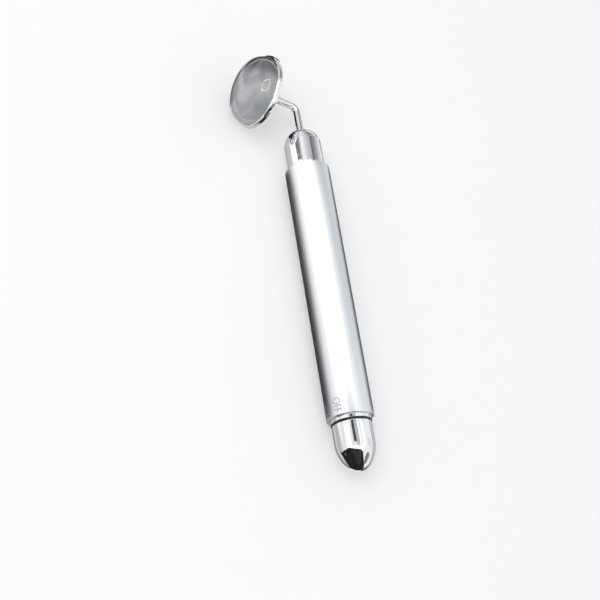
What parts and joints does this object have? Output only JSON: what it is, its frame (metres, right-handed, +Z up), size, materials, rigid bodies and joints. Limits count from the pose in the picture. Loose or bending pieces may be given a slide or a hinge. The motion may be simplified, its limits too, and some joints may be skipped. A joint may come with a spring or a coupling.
{
  "type": "vibrating facial massager",
  "caption": "Slim battery wand with a domed polished stone on a bent chrome neck, a satin tube handle and a bullet-shaped twist cap that switches its buzz motor.",
  "frame": {"origin": "on the handle's axis at the middle of the tube", "axes": "+Y along the handle from the twist cap to the head, +Z up from the surface it lies on, the stone faces -X and a little up"},
  "size_m": [0.0369, 0.1736, 0.0296],
  "materials": {
    "stone": "polished milky quartz",
    "chrome": "mirror chrome plating",
    "satin_aluminium": "satin anodised",
    "seal_rubber": "smooth black rubber",
    "plug_plastic": "moulded black plastic",
    "liner_plastic": "white plastic tube",
    "board": "glass fibre board",
    "brass": "stamped brass",
    "bronze": "sintered bronze",
    "copper": "enamelled copper wire",
    "zinc_steel": "zinc plated steel",
    "spring_steel": "nickel plated spring steel",
    "motor_steel": "drawn steel can",
    "ferrite": "dark sintered magnet",
    "core_iron": "stacked iron sheets",
    "bell_plastic": "cream moulded plastic",
    "holder_rubber": "dark grey rubber",
    "lead_red": "red wire insulation",
    "lead_black": "black wire insulation",
    "cell_jacket": "shrunk plastic jacket",
    "washer_paper": "waxed paper"
  },
  "bodies": {
    "handle": {"handle_tube": "satin_aluminium", "thread_collar": "chrome", "battery_liner": "liner_plastic", "front_contact": "brass", "contact_board": "board", "lead_positive": "lead_red", "lead_negative": "lead_black", "motor_holder": "holder_rubber", "motor_can": "motor_steel", "motor_end_bell": "bell_plastic", "field_magnets": "ferrite", "front_bush": "bronze", "rear_bush": "bronze", "brushes": "brass", "motor_terminals": "brass"},
    "rotor": {"motor_shaft": "spring_steel", "armature_core": "core_iron", "armature_windings": "copper", "commutator": "copper", "eccentric_weight": "brass"},
    "head": {"stone_dome": "stone", "stone_setting": "chrome", "neck_wire": "chrome", "neck_washer": "zinc_steel", "neck_nut": "zinc_steel", "head_cap": "chrome", "head_plug": "plug_plastic"},
    "battery": {"battery_cell": "spring_steel", "battery_sleeve": "cell_jacket", "battery_washer": "washer_paper"},
    "seal": {"seal_ring": "seal_rubber"},
    "switch_cap": {"twist_cap": "chrome", "cap_plug": "plug_plastic", "spring_seat": "brass", "battery_spring": "spring_steel", "switch_strip": "brass"}
  },
  "joints": [
    {"name": "motor_spin", "type": "hinge", "parent": "handle", "child": "rotor", "pos_m": [0, 0, 0], "axis": [0, 1, 0], "continuous": true},
    {"name": "head_draw", "type": "slide", "parent": "handle", "child": "head", "axis": [0, 1, 0], "range_m": [0, 0.02]},
    {"name": "battery_draw", "type": "slide", "parent": "handle", "child": "battery", "axis": [0, -1, 0], "range_m": [0, 0.06]},
    {"name": "cap_draw", "type": "slide", "parent": "handle", "child": "seal", "axis": [0, -1, 0], "range_m": [0, 0.075]},
    {"name": "switch_twist", "type": "hinge", "parent": "seal", "child": "switch_cap", "pos_m": [0, -0.0528, 0], "axis": [0, 1, 0], "range_deg": [0, 90]}
  ],
  "couplings": [
    {"joint": "battery_draw", "follows": "cap_draw", "ratio": 0.8}
  ]
}
